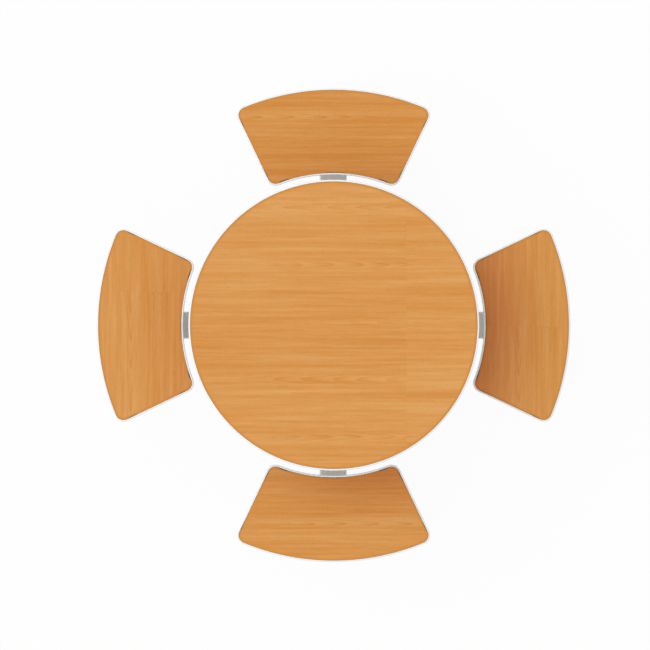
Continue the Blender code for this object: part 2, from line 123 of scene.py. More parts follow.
class PanelSizes(bpy.types.PropertyGroup):
    """Table and bench panels with their edging."""

    table_radius: length("Table radius", TABLE_HIGH.x, "Middle of the table to the outside of its edging")
    seat_inner: length("Bench inner radius", 0.536, "Middle of the table to the bench's hollow edge")
    seat_outer: length("Bench outer radius", SEAT_HIGH.x, "Middle of the table to the bench's round edge")
    seat_half_angle: angle("Bench half angle", 25.5, "Lean of a bench's straight sides")
    seat_side_inset: length("Side inset", 0.008, "How far a straight side lies inside its radius")
    seat_corner: length("Bench corner", 0.035, "Radius of a bench's corners")
    edge_face: length("Edging face", TABLE_HIGH.x - BOARD_HIGH.x, "Thickness of the edging outside the board")
    edge_round: length("Edging round", 0.0024, "Radius of the edging's upper and lower corners")
    tongue_length: length("Tongue length", 0.009, "Depth of the edging's tongue in the board")
    tongue_thickness: length("Tongue thickness", 0.0024, "Thickness of the edging's tongue")
    groove_gap: length("Groove gap", 0.0003, "Room round the tongue")
    laminate_ease: length("Laminate ease", 0.0007, "Chamfer on the laminate's trimmed edge")
    joint_gap: length("Joint gap", 0.0028, "Most that the joint beside a bench's corners stands open")
    joint_reach: length("Joint reach", 0.040, "Length of that open joint")
    joint_middle: length("Middle joint", 0.092, "Length of the joint that opens midway along a hollow edge")
    rim_width: length("Rim width", 0.0105, "Band inside the edging where the laminate turns deeper in tone")
    rim_full: length("Rim full", 0.0045, "Part of that band with the full tone")


class SteelSizes(bpy.types.PropertyGroup):
    """Steel frame, weld beads, fasteners and feet."""

    plate_ease: length("Plate ease", 0.0008, "Rounding on cut edges of plates and tubes")
    press_ease: length("Press ease", 0.0014, "Rounding on the edges of pressed parts")
    cap_ease: length("Cap ease", 0.0010, "Rounding on the plastic caps")
    bead_radius: length("Weld bead", 0.0032, "Half the width of a weld bead")
    bead_pitch: length("Weld ripple", 0.0045, "Distance between the ripples of a weld bead")
    bolt_flats: length("Bolt head", 0.016, "Across the flats of a bolt's head")
    bolt_height: length("Bolt head height", 0.0064, "Height of a bolt's head")
    washer_radius: length("Washer radius", 0.0105, "Radius of a bolt's washer")
    washer_thickness: length("Washer thickness", 0.0018, "Thickness of a bolt's washer")
    screw_radius: length("Screw head", 0.0052, "Radius of a wood screw's head")
    screw_height: length("Screw head height", 0.0034, "Height of a wood screw's head")
    thread_pitch: length("Thread pitch", 0.0015, "Pitch of the levelling spindles")
    thread_depth: length("Thread depth", 0.0007, "Depth of the levelling spindles' thread")


class FinishColours(bpy.types.PropertyGroup):
    """Colours and strengths of the finishes."""

    beech_pale: colour("Beech, pale", (0.722, 0.357, 0.108), "Lightest streaks of the beech print")
    beech_deep: colour("Beech, deep", (0.622, 0.240, 0.036), "Darkest streaks of the beech print")
    beech_rim: colour("Beech, rim", (0.676, 0.250, 0.024), "Beech print beside the edging")
    # Painted shade: this tint makes the benches' print redder and darker beside the table, where its shade
    # falls.
    beech_painted_shade: colour("Beech, painted shade", (1.0, 0.74, 0.71), "Tint of the print where the table shelters it")
    backing_pale: colour("Backing, pale", (0.440, 0.262, 0.140), "Lightest streaks of the panels' underside")
    backing_deep: colour("Backing, deep", (0.270, 0.140, 0.066), "Darkest streaks of the panels' underside")
    core: colour("Panel core", (0.070, 0.040, 0.022), "Cut edge of the laminate and the board")
    edging: colour("Edging", (0.790, 0.855, 0.900), "Cool white edging")
    # Painted light: this colour makes the edging whiter beside the table, where its shade falls.
    edging_painted_light: colour("Edging, painted light", (0.870, 0.975, 1.0), "Edging where the table shelters it")
    silver: colour("Silver coat", (0.715, 0.725, 0.690), "Powder coat of the steel frame")
    plastic: colour("Dark plastic", (0.045, 0.046, 0.050), "Caps and glides")
    zinc: colour("Zinc", (0.600, 0.600, 0.570), "Plated bolts, screws and spindles")
    figure: share("Figure strength", 0.72, "How clearly the pointed figure of the beech print shows")
    # Painted shade of the table: the window in these settings is the key lamp, and the mask is strongest on
    # the side away from it.
    table_shade_least: share("Least shelter", 0.16, "Shelter beside the table on the side towards the window")
    table_shade_bearing: angle("Shelter bearing", -15, "Side of the table away from the window, from +X to +Y")
    table_shade_end: length("Shelter end", 0.80, "Middle of the table to where its shelter ends")


class StageSettings(bpy.types.PropertyGroup):
    """Floor, light and camera."""

    camera_height: length("Camera height", 8.0, "Camera above the table's surface")
    camera_x: length("Camera X", -0.0303, "Camera beside the middle of the table")
    camera_y: length("Camera Y", 0.0006, "Camera above or below the middle of the table")
    focal_length: number("Focal length", 128.95, "Focal length in millimetres on a 36 mm sensor")
    key_strength: number("Key strength", 1.58, "Strength of the soft key lamp")
    key_angle: angle("Key angle", 67, "Angle across the key lamp")
    key_lean: angle("Key lean", 32, "Lean of the key lamp from straight above")
    key_bearing: angle("Key bearing", 163, "Side the key lamp stands on, from +X to +Y")
    sky_strength: number("Sky strength", 0.595, "Even light all round")
    floor_size: length("Floor size", 12.0, "Half the width of the floor")
    floor_shadow: share("Floor shadow", 0.06, "Share of real shading in the floor that the camera sees")
    floor_drop: length("Floor drop", FOOT_TRAVEL + 0.0005, "Room in which the feet can be screwed out")


def panel_sizes():
    return bpy.context.scene.bench_table_panels


def steel_sizes():
    return bpy.context.scene.bench_table_steel


def finishes():
    return bpy.context.scene.bench_table_finishes


def stage_settings():
    return bpy.context.scene.bench_table_stage


# Node helpers


class Value:
    """A node's output that can be reckoned with like a number."""

    def __init__(self, socket):
        self.socket = socket
        self.tree = socket.id_data

    def __add__(self, other):
        return calc("ADD", self, other)

    def __sub__(self, other):
        return calc("SUBTRACT", self, other)

    def __rsub__(self, other):
        return calc("SUBTRACT", other, self)

    def __mul__(self, other):
        return calc("MULTIPLY", self, other)

    def __truediv__(self, other):
        return calc("DIVIDE", self, other)

    def __rtruediv__(self, other):
        return calc("DIVIDE", other, self)

    __radd__ = __add__
    __rmul__ = __mul__


def wire(tree, kind, inputs=None, **settings):
    """A node with its settings, and with each input linked to a value or set to a constant."""
    node = tree.nodes.new(kind)
    for key, setting in settings.items():
        setattr(node, key, setting)
    for key, value in (inputs or {}).items():
        if isinstance(value, Value):
            tree.links.new(value.socket, node.inputs[key])
        else:
            node.inputs[key].default_value = value
    return node


def made(tree, kind, inputs=None, output=0, **settings):
    """One output of a new node."""
    return Value(wire(tree, kind, inputs, **settings).outputs[output])


def feed(node, values):
    """Links values to a node's inputs."""
    for key, value in values.items():
        value.tree.links.new(value.socket, node.inputs[key])


def calc(operation, *values, clamp=False):
    """A Math node's output."""
    tree = next(value.tree for value in values if isinstance(value, Value))
    return made(tree, "ShaderNodeMath", dict(enumerate(values)), operation=operation, use_clamp=clamp)


def blend_colours(factor, first, second, mode="MIX"):
    """A colour between two, which are values or three numbers each."""
    pair = [side if isinstance(side, Value) else (*side, 1.0) for side in (first, second)]
    return made(
        factor.tree, "ShaderNodeMix", {0: factor, 6: pair[0], 7: pair[1]}, output=2, data_type="RGBA",
        blend_type=mode, clamp_factor=True,
    )


def noise(place, scale, detail, roughness=0.5):
    """A Noise Texture's value."""
    inputs = {"Vector": place, "Scale": scale, "Detail": detail, "Roughness": roughness}
    return made(place.tree, "ShaderNodeTexNoise", inputs, "Fac")


def streaks(u, v, along, across, layer, detail=1.0, roughness=0.5):
    """Noise drawn out along the grain."""
    place = made(u.tree, "ShaderNodeCombineXYZ", {0: u * along, 1: v * across, 2: layer})
    return noise(place, 1.0, detail, roughness)


def ramp_between(value, low, high):
    """Smooth step of a value from low to high."""
    inputs = {0: value, 1: low, 2: high, 3: 0.0, 4: 1.0}
    return made(value.tree, "ShaderNodeMapRange", inputs, interpolation_type="SMOOTHSTEP")


def centred(value, strength):
    """A nought-to-one value moved about nought and scaled."""
    return (value - 0.5) * strength


def new_group(kind, name, inputs, outputs):
    """An empty node group with named sockets: its tree, its inputs as values and its output node."""
    tree = bpy.data.node_groups.new(name, f"{kind}NodeTree")
    for way, sockets in (("INPUT", inputs), ("OUTPUT", outputs)):
        for label, form in sockets.items():
            tree.interface.new_socket(name=label, in_out=way, socket_type=f"NodeSocket{form}")
    entry = tree.nodes.new("NodeGroupInput")
    given = {label: Value(entry.outputs[label]) for label in inputs}
    return tree, given, tree.nodes.new("NodeGroupOutput")


def placed_group(tree, group, inputs):
    """The outputs of a shader group, in their order."""
    return [Value(socket) for socket in wire(tree, "ShaderNodeGroup", inputs, node_tree=group).outputs]


# Shader node groups

SEAM_PLACE = 0.2505
SEAM_SHIFT = 0.13
FIGURE_SPACING = 0.197
FIGURE_MIDDLE = 0.010
FIGURE_BEND = 520.0
FIGURE_STEP = 0.098
FIGURE_REPEAT = 1.6
FIGURE_ROW_WIDTH = (0.008, 0.036)
FIGURE_LENGTH = (0.12, 0.42)
FIGURE_START, FIGURE_SHIFT = -0.24, 0.14
FIGURE_LIFT, FIGURE_FAINT = 0.20, 0.6
LINE_RISE, LINE_FALL = 0.07, 2.6
SEAM_TONE = 0.02
FLECK_RANGE = (0.64, 0.74)
FLECK_DEPTH = 0.6
# Turn of the table's painted shade mask from the key lamp's side to the far side
TABLE_SHADE_TURN = (-0.05, 0.95)


def beech_group():
    """Printed beech: streaks along the grain, pointed figure and small flecks, in metres of grain space."""
    tree, given, result = new_group(
        "Shader", "beech_print", {"Grain": "Vector", "Figure": "Float"},
        {"Tone": "Float", "Fleck": "Float", "Height": "Float"},
    )
    parts = wire(tree, "ShaderNodeSeparateXYZ", {0: given["Grain"]})
    raw_u, raw_v = Value(parts.outputs[0]), Value(parts.outputs[1])
    seam = calc("GREATER_THAN", raw_u, SEAM_PLACE)
    u = seam * SEAM_SHIFT + raw_u
    v = raw_v + centred(streaks(u, raw_v, 2.4, 9.0, 0.0), 0.008)

    broad = streaks(u, v, 1.1, 34.0, 3.1, detail=2.0)
    middle = streaks(u, v, 2.6, 95.0, 7.7, detail=2.0)
    fine = streaks(u, v, 18.0, 320.0, 9.4, detail=3.0, roughness=0.6)
    bands = streaks(u, v, 0.7, 8.0, 1.3)
    specks = streaks(u, v, 95.0, 1100.0, 2.2)

    # Every third row of the print carries the same figure: open to the right, open to the left, faint.
    row = (v - FIGURE_MIDDLE) / FIGURE_SPACING
    index = calc("ROUND", row)
    kind = calc("ROUND", calc("WRAP", index, 2.5, -0.5))
    way = calc("COMPARE", kind, 1.0, 0.5) * -2.0 + 1.0
    clear = calc("COMPARE", kind, 0.0, 0.5) * -FIGURE_FAINT + 1.0
    off_row = (row - index) * FIGURE_SPACING
    shifted = u + (kind * FIGURE_SHIFT + FIGURE_START)
    from_middle = calc("WRAP", shifted, FIGURE_REPEAT / 2, -FIGURE_REPEAT / 2)
    ring = from_middle * way - off_row * off_row * FIGURE_BEND
    ring += centred(streaks(u, v, 3.0, 14.0, 5.5), 0.22)
    ring += centred(streaks(u, v, 9.0, 110.0, 6.5, detail=2.0), 0.042)
    phase = calc("FRACT", ring / FIGURE_STEP)
    line = calc("POWER", 1.0 - phase, LINE_FALL) * ramp_between(phase, 0.0, LINE_RISE)
    near_row = 1.0 - ramp_between(calc("ABSOLUTE", off_row), *FIGURE_ROW_WIDTH)
    near_middle = 1.0 - ramp_between(calc("ABSOLUTE", from_middle), *FIGURE_LENGTH)
    window = near_row * near_middle * clear

    tone = 0.5 + centred(broad, 0.95) + centred(middle, 1.35) + centred(fine, 0.95) + centred(bands, 0.5)
    tone = window * FIGURE_LIFT + tone - line * window * given["Figure"]
    tone = calc("MULTIPLY_ADD", seam, SEAM_TONE, tone, clamp=True)
    fleck = ramp_between(specks, *FLECK_RANGE)
    feed(result, {"Tone": tone, "Fleck": fleck, "Height": fine - fleck * FLECK_DEPTH})
    return tree


def table_shade_group():
    """Mask of where the table's shade is painted below it: most beside the table, on the side away from the
    key lamp.
    """
    settings = finishes()
    tree, given, result = new_group("Shader", "table_shelter", {"Place": "Vector"}, {"Mask": "Float"})

    def vector_calc(operation, output, *vectors):
        return made(tree, "ShaderNodeVectorMath", dict(enumerate(vectors)), output, operation=operation)

    away = (math.cos(settings.table_shade_bearing), math.sin(settings.table_shade_bearing), 0.0)
    level = vector_calc("MULTIPLY", "Vector", given["Place"], (1.0, 1.0, 0.0))
    distance = vector_calc("LENGTH", "Value", level)
    reach = vector_calc("DOT_PRODUCT", "Value", level, away)
    side = ramp_between(reach / distance, *TABLE_SHADE_TURN)
    side = side * (1.0 - settings.table_shade_least) + settings.table_shade_least
    near = 1.0 - ramp_between(distance, panel_sizes().table_radius, settings.table_shade_end)
    height = made(tree, "ShaderNodeSeparateXYZ", {0: given["Place"]}, 2)
    below = calc("LESS_THAN", height, TABLE_LOW.z)
    feed(result, {"Mask": side * near * below})
    return tree


def speckle_group():
    """Fine even texture of coated, moulded and plated surfaces: slow tone, grain and height."""
    tree, given, result = new_group(
        "Shader", "surface_speckle", {"Place": "Vector", "Grain Size": "Float", "Patch Size": "Float"},
        {"Patch": "Float", "Grain": "Float", "Height": "Float"},
    )
    place = given["Place"]
    grain = noise(place, 1.0 / given["Grain Size"], 2.0)
    patch = noise(place, 1.0 / given["Patch Size"], 3.0)
    cell_scale = 0.6 / given["Grain Size"]
    cells = made(tree, "ShaderNodeTexVoronoi", {"Vector": place, "Scale": cell_scale}, "Distance")
    feed(result, {"Patch": patch, "Grain": grain, "Height": cells * 0.5 + grain})
    return tree


# Materials

# Share of the grain and the patches in the colour, the mask's shift, and how far patches change the gloss
GRAIN_SHARE, PATCH_SHARE, MASK_SHIFT, GLOSS_SPREAD = 0.6, 0.8, 0.2, 0.12
# Colour, variation of the colour, grain size, patch size, roughness, metallic and relief
SPECKLED_FINISHES = {
    "panel_core": ("core", 0.25, 0.0012, 0.05, 0.75, 0.0, 0.15),
    "pale_edging": ("edging", 0.03, 0.0010, 0.20, 0.11, 0.0, 0.03),
    "silver_powder_coat": ("silver", 0.06, 0.0009, 0.25, 0.42, 0.25, 0.15),
    "dark_moulded_plastic": ("plastic", 0.20, 0.0008, 0.06, 0.52, 0.0, 0.15),
    "zinc_plate": ("zinc", 0.10, 0.0006, 0.02, 0.30, 1.0, 0.06),
}
GRAIN_RELIEF = 0.0002


def new_material(name):
    """A new material's tree and shader."""
    material = bpy.data.materials.new(name)
    material.use_nodes = True
    return material.node_tree, material.node_tree.nodes["Principled BSDF"]


def bump(height, strength, distance):
    """A normal from a height."""
    return made(
        height.tree, "ShaderNodeBump", {"Height": height, "Strength": strength, "Distance": distance}
    )


def object_place(tree):
    return made(tree, "ShaderNodeTexCoord", output="Object")


def attribute(tree, name):
    return made(tree, "ShaderNodeAttribute", output="Fac", attribute_name=name)


def beech_sheet(name, group, deep, pale, batch, fleck, gloss, relief):
    """A beech print along a panel's grain map. Gives the shader and the colour of the print.

    Bench shade and fleck are shares, bench shade being how much of the panel's painted shade darkens the
    print, and gloss is the roughness with its variation.
    """
    settings = finishes()
    tree, shader = new_material(name)
    grain = made(tree, "ShaderNodeUVMap", uv_map="grain")
    tone, flecks, height = placed_group(tree, group, {"Grain": grain, "Figure": settings.figure})
    # Painted shade: a per-panel attribute darkens the benches' print towards its deep tone, for their dimmer
    # light.
    base = blend_colours(tone - attribute(tree, "batch") * batch, deep, pale)
    base = blend_colours(flecks * fleck, base, settings.core)
    feed(shader, {
        "Base Color": base,
        "Roughness": height * gloss[1] + gloss[0],
        "Normal": bump(height, relief, GRAIN_RELIEF),
    })
    return shader, base


def speckled(name, group):
    """A coated, moulded or plated finish that varies a little. Gives the shader and its colour."""
    label, shade, grain_size, patch_size, roughness, metallic, relief = SPECKLED_FINISHES[name]
    rgb = getattr(finishes(), label)
    tree, shader = new_material(name)
    inputs = {"Place": object_place(tree), "Grain Size": grain_size, "Patch Size": patch_size}
    patch, grain, height = placed_group(tree, group, inputs)
    darker = [channel * (1.0 - shade) for channel in rgb]
    paler = [min(1.0, channel * (1.0 + shade)) for channel in rgb]
    mask = calc("ADD", grain * GRAIN_SHARE + centred(patch, PATCH_SHARE), MASK_SHIFT, clamp=True)
    base = blend_colours(mask, darker, paler)
    feed(shader, {
        "Base Color": base,
        "Roughness": patch * GLOSS_SPREAD + (roughness - GLOSS_SPREAD / 2),
        "Normal": bump(height, relief, grain_size / 4),
    })
    shader.inputs["Metallic"].default_value = metallic
    return shader, base


def make_finishes():
    """All finishes. Beside the table, on the side away from the key lamp, the beech is painted redder and
    darker as shade and the edging is painted whiter as light.
    """
    settings = finishes()
    beech, table_shade_tree, speckle = beech_group(), table_shade_group(), speckle_group()

    def table_shade_mask(tree):
        return placed_group(tree, table_shade_tree, {"Place": object_place(tree)})[0]

    shader, base = beech_sheet(
        "beech_laminate", beech, settings.beech_deep, settings.beech_pale, batch=1.0, fleck=0.34,
        gloss=(0.40, 0.10), relief=0.12,
    )
    edged = blend_colours(attribute(base.tree, "rim"), base, settings.beech_rim)
    # Painted shade: the beech turns redder and darker where the table's shade falls.
    feed(shader, {"Base Color": blend_colours(table_shade_mask(base.tree), edged, settings.beech_painted_shade, "MULTIPLY")})
    shader.inputs["Specular IOR Level"].default_value = 0.20
    beech_sheet(
        "backing_sheet", beech, settings.backing_deep, settings.backing_pale, batch=0.0, fleck=0.40,
        gloss=(0.55, 0.15), relief=0.15,
    )
    for name in SPECKLED_FINISHES:
        shader, base = speckled(name, speckle)
        if name == "pale_edging":
            # Painted light: the edging turns whiter where the table's shade falls.
            feed(shader, {"Base Color": blend_colours(table_shade_mask(base.tree), base, settings.edging_painted_light)})


# Mesh helpers

MERGE = 1e-6
SMOOTH_ANGLE = math.radians(38)


def add_object(name, data):
    obj = bpy.data.objects.new(name, data)
    bpy.context.scene.collection.objects.link(obj)
    return obj


def mesh_from(shape, name, merge=MERGE):
    """A mesh from a bmesh, merged, facing outwards, with smooth faces between sharp edges."""
    bmesh.ops.remove_doubles(shape, verts=shape.verts, dist=merge)
    bmesh.ops.recalc_face_normals(shape, faces=shape.faces)
    mesh = bpy.data.meshes.new(name)
    shape.to_mesh(mesh)
    shape.free()
    mesh.shade_smooth()
    mesh.set_sharp_from_angle(angle=SMOOTH_ANGLE)
    return mesh


def evaluated_mesh(obj):
    """The mesh that an object's modifiers make. The object is removed."""
    bpy.context.view_layer.update()
    graph = bpy.context.evaluated_depsgraph_get()
    mesh = bpy.data.meshes.new_from_object(obj.evaluated_get(graph))
    bpy.data.objects.remove(obj)
    return mesh


def evenly_shaded(mesh):
    """The mesh with normals that keep its large flat faces flat beside small rounded ones."""
    holder = add_object(mesh.name, mesh)
    holder.modifiers.new("even_shading", "WEIGHTED_NORMAL").keep_sharp = True
    even = evaluated_mesh(holder)
    even.name = mesh.name
    bpy.data.meshes.remove(mesh)
    return even


def dress(name, mesh, finish_names, body, slot, *nodes):
    """Makes a piece of a mesh: finishes, body to ride on, record slot (not used) and the nodes it stands for.
    """
    if mesh.materials:
        mesh.materials.clear()
    for finish in finish_names:
        mesh.materials.append(bpy.data.materials[finish])
    mesh.validate_material_indices()
    piece = add_object(name, evenly_shaded(mesh))
    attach(piece, body)
    if nodes:
        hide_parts(*nodes)


def skin(shape, rings, finish):
    """Faces from ring to ring, with the finish of the ring where they end, and over the first and last."""
    for first, second, material in zip(rings, rings[1:], finish[1:]):
        for i in range(len(first)):
            face = shape.faces.new((first[i - 1], first[i], second[i], second[i - 1]))
            face.material_index = material
    shape.faces.new(rings[0])
    shape.faces.new(reversed(rings[-1])).material_index = finish[-1]


def bench_turns():
    """Each bench's number and the turn from the bench along +X to it."""
    for bench in BENCHES:
        yield bench, Matrix.Rotation((bench - 1) * math.pi / 2, 4, "Z")


# Outlines of the panels

TABLE_STEPS, RIM_STEPS, CORNER_STEPS, HOLLOW_STEPS = 240, 56, 12, 80
SIDE_END = (0.01, 0.03, 0.06, 0.09, 0.12, 0.15, 0.18, 0.21)
SIDE_PARTS = (*SIDE_END, 0.5, *(1.0 - part for part in reversed(SIDE_END)))
JOINT_SWELL, SIDE_JOINT, MIDDLE_JOINT = 1.7, 0.65, 0.45


def arc(centre, radius, start, end, segments):
    angles = [start + (end - start) * i / segments for i in range(segments + 1)]
    return [Vector((centre[0] + radius * math.cos(t), centre[1] + radius * math.sin(t))) for t in angles]


def table_outline(inset):
    return arc((0, 0), panel_sizes().table_radius - inset, 0.0, 2 * math.pi, TABLE_STEPS)[:-1]


def bench_outline(inset):
    """Outline of the bench along +X, this far inside its outer edge."""
    sizes = panel_sizes()
    outer, inner = sizes.seat_outer - inset, sizes.seat_inner + inset
    corner, lean = sizes.seat_corner - inset, sizes.seat_half_angle
    depth = sizes.seat_side_inset + inset + corner
    along = Vector((math.cos(lean), math.sin(lean)))
    outwards = Vector((-along.y, along.x))

    def corner_centre(distance):
        return along * math.sqrt(distance**2 - depth**2) - outwards * depth

    far, near = corner_centre(outer - corner), corner_centre(inner + corner)
    far_angle, near_angle = math.atan2(far.y, far.x), math.atan2(near.y, near.x)
    side_angle = lean + math.pi / 2
    rim = arc((0, 0), outer, -far_angle, far_angle, RIM_STEPS)
    far_corner = arc(far, corner, far_angle, side_angle, CORNER_STEPS)[1:]
    near_corner = arc(near, corner, side_angle, near_angle + math.pi, CORNER_STEPS)[:-1]
    side = [far_corner[-1].lerp(near_corner[0], part) for part in SIDE_PARTS]
    front = arc((0, 0), inner, near_angle, -near_angle, HOLLOW_STEPS)
    upper = far_corner + side + near_corner
    lower = [Vector((point.x, -point.y)) for point in reversed(upper)]
    return rim + upper + front + lower


def bench_gaps():
    """How far the joint with the edging stands open at each point of a bench's outline, nought to one.

    The edging springs off a little where a straight side or the hollow edge runs into a corner, and in the
    middle of the hollow edge.
    """
    sizes = panel_sizes()
    points = bench_outline(sizes.edge_face)

    def opening(distance, reach):
        return min(1.0, JOINT_SWELL * math.sin(math.pi * min(distance / reach, 1.0)))

    start = RIM_STEPS + CORNER_STEPS
    span = (points[start + len(SIDE_PARTS) + 1] - points[start]).length
    reach = sizes.joint_reach
    sides = []
    for part in SIDE_PARTS:
        widest = max(opening(span * part, reach), opening(span * (1 - part), reach))
        sides.append(SIDE_JOINT * widest)
    first = start + 1 + len(SIDE_PARTS) + CORNER_STEPS
    step = (points[first + 1] - points[first]).length
    hollow = []
    for i in range(HOLLOW_STEPS + 1):
        from_end = step * min(i, HOLLOW_STEPS - i)
        from_middle = step * abs(i - HOLLOW_STEPS / 2)
        middle = opening(max(sizes.joint_middle / 2 - from_middle, 0.0), sizes.joint_middle)
        hollow.append(max(opening(from_end, reach), MIDDLE_JOINT * middle))
    upper = [0.0] * CORNER_STEPS + sides + [0.0] * CORNER_STEPS
    return [0.0] * (RIM_STEPS + 1) + upper + hollow + upper[::-1]


def boards():
    """The table and the benches: number, outline, lowest and highest point and turn."""
    yield 0, table_outline, TABLE_LOW.z, TABLE_HIGH.z, Matrix()
    for bench, turn in bench_turns():
        yield bench, bench_outline, SEAT_LOW.z, SEAT_HIGH.z, turn


# Panels

# Way of the grain, offset of the print in metres and painted shade that darkens the print, of the table and
# the benches; the benches' darker print stands in for their dimmer light
PRINTS = (
    (Vector((1, 0)), (0.0, 0.0), 0.0),
    (Vector((0, 1)), (0.2556, 1.064), 0.08),
    (Vector((1, 0)), (-1.335, -0.534), 0.22),
    (Vector((0, 1)), (0.133, -0.317), 0.14),
    (Vector((1, 0)), (-1.636, 0.914), 0.06),
)


def panel_profile(top, bottom):
    """Rings of a panel from the middle of its top, over its grooved edge, to its underside.

    Each is inset, height, finish of the faces that end there, rim tone and how far it follows an open joint.
    """
    sizes = panel_sizes()
    edge, ease = sizes.edge_face, sizes.laminate_ease
    groove = edge + sizes.tongue_length + sizes.groove_gap
    half = sizes.tongue_thickness / 2 + sizes.groove_gap
    middle = (top + bottom) / 2
    return [
        (edge + sizes.rim_width, top, 0, 0.0, 0.0),
        (edge + sizes.rim_full, top, 0, 1.0, 0.0),
        (edge + ease, top, 0, 1.0, 1.0),
        (edge, top - ease, 1, 1.0, 0.0),
        (edge, middle + half, 1, 0.0, 0.0),
        (groove, middle + half, 1, 0.0, 0.0),
        (groove, middle - half, 1, 0.0, 0.0),
        (edge, middle - half, 1, 0.0, 0.0),
        (edge, bottom + ease, 1, 0.0, 0.0),
        (edge + ease, bottom, 1, 0.0, 0.0),
        (edge + sizes.rim_width, bottom, 2, 0.0, 0.0),
    ]


def lofted_panel(name, outline, gaps, profile, print_place, turn):
    """A grooved panel with a grain map in metres, a rim tone beside its edging and the painted shade that
    darkens its print.
    """
    grain_along, grain_offset, depth = print_place
    shape = bmesh.new()
    rim = shape.verts.layers.float.new("rim")
    # Painted shade: each panel's print is darkened by its own amount, standing in for the light on it.
    batch = shape.verts.layers.float.new("batch")
    rings = []
    for inset, height, _, tone, opens in profile:
        wide = outline(inset + opens * panel_sizes().joint_gap)
        ring = []
        for point, far, gap in zip(outline(inset), wide, gaps):
            place = point.lerp(far, gap)
            ring.append(shape.verts.new((place.x, place.y, height)))
            ring[-1][rim] = tone
            ring[-1][batch] = depth
        rings.append(ring)
    skin(shape, rings, [row[2] for row in profile])
    bmesh.ops.transform(shape, matrix=turn, verts=shape.verts)
    grain = shape.loops.layers.uv.new("grain")
    across = Vector((-grain_along.y, grain_along.x))
    for face in shape.faces:
        for loop in face.loops:
            flat = loop.vert.co.xy
            loop[grain].uv = (flat.dot(grain_along) + grain_offset[0], flat.dot(across) + grain_offset[1])
    return mesh_from(shape, name)


class BENCHTABLE_OT_panels(bpy.types.Operator):
    """Makes the round table panel and the four bench panels"""

    bl_idname = "bench_table.panels"
    bl_label = "Laminated panels"

    def execute(self, context):
        finish = ("beech_laminate", "panel_core", "backing_sheet")
        for bench, outline, low, high, turn in boards():
            name = f"bench_panel_{bench}" if bench else "table_panel"
            node = f"seat_board_{bench}" if bench else "table_top"
            gaps = bench_gaps() if bench else [0.0] * TABLE_STEPS
            mesh = lofted_panel(name, outline, gaps, panel_profile(high, low), PRINTS[bench], turn)
            dress(name, mesh, finish, "frame", "laminate", node)
        return {"FINISHED"}


# Geometry Nodes helpers


def geometry_group(name, inputs):
    """A geometry node group with a geometry input and output and further named inputs."""
    return new_group("Geometry", name, {"Geometry": "Geometry", **inputs}, {"Geometry": "Geometry"})


def close_tree(geometry, finish, result):
    """Ends a tree in Realize Instances and Set Material."""
    real = made(geometry.tree, "GeometryNodeRealizeInstances", {"Geometry": geometry})
    painted = made(geometry.tree, "GeometryNodeSetMaterial", {"Geometry": real, "Material": finish})
    feed(result, {"Geometry": painted})


def run_tree(name, obj, tree, finish, values, merge=MERGE):
    """The clean mesh that a tree makes of an object, which is removed."""
    modifier = obj.modifiers.new(tree.name, "NODES")
    modifier.node_group = tree
    sockets = {item.name: item.identifier for item in tree.interface.items_tree if item.in_out == "INPUT"}
    for label, value in {**values, "Finish": bpy.data.materials[finish]}.items():
        modifier[sockets[label]] = value
    shape = bmesh.new()
    shape.from_mesh(evaluated_mesh(obj))
    return mesh_from(shape, name, merge)


def poly_curve(name, paths, closed):
    """A curve object with one straight-sided spline for each path."""
    curve = bpy.data.curves.new(name, "CURVE")
    curve.dimensions = "3D"
    for path in paths:
        spline = curve.splines.new("POLY")
        spline.points.add(len(path) - 1)
        for point, place in zip(spline.points, path):
            point.co = (*place, 1.0)
        spline.use_cyclic_u = closed
    return add_object(name, curve)


# Edging

EDGING = "pale_edging"
EDGING_GAP = 0.0001
BARBS = ((0.45, 0.8), (0.5, 1.0), (1.0, 0.55))


def edging_tree():
    """Carries the edging's section round the path."""
    tree, given, result = geometry_group("edging_sweep", {"Section": "Object", "Finish": "Material"})
    upright = made(tree, "GeometryNodeSetCurveNormal", {"Curve": given["Geometry"]}, mode="Z_UP")
    section = made(tree, "GeometryNodeObjectInfo", {"Object": given["Section"]}, "Geometry")
    swept = made(tree, "GeometryNodeCurveToMesh", {"Curve": upright, "Profile Curve": section})
    close_tree(swept, given["Finish"], result)
    return tree


def edging_section(thickness):
    """Section of the T edging: flat face, rounded corners and a barbed tongue, outwards from the board."""
    sizes = panel_sizes()
    half, face, corner = thickness / 2, sizes.edge_face, sizes.edge_round
    tongue = sizes.tongue_thickness / 2
    upper = arc((face - corner, half - corner), corner, 0.0, math.pi / 2, 6)
    lower = arc((face - corner, corner - half), corner, -math.pi / 2, 0.0, 6)
    barbs = [(EDGING_GAP, tongue)]
    barbs += [(-sizes.tongue_length * reach, tongue * width) for reach, width in BARBS]
    points = [(EDGING_GAP, -half), *lower, *upper, (EDGING_GAP, half), *barbs]
    points += [(x, -y) for x, y in reversed(barbs)]
    return [(x, y, 0.0) for x, y in points]


class BENCHTABLE_OT_edging(bpy.types.Operator):
    """Carries the pale edging round the table and the benches"""

    bl_idname = "bench_table.edging"
    bl_label = "Edging"

    def execute(self, context):
        tree = edging_tree()
        for bench, outline, low, high, turn in boards():
            name = f"bench_edge_band_{bench}" if bench else "table_edge_band"
            node = f"seat_edging_{bench}" if bench else "table_edging"
            points = outline(panel_sizes().edge_face)
            path = [turn @ Vector((point.x, point.y, (low + high) / 2)) for point in points]
            section = poly_curve("edging_section", [edging_section(high - low)], True)
            band = poly_curve(name, [path], True)
            mesh = run_tree(name, band, tree, EDGING, {"Section": section})
            bpy.data.objects.remove(section)
            dress(name, mesh, [EDGING], "frame", "edging", node)
        return {"FINISHED"}


# Steel frame

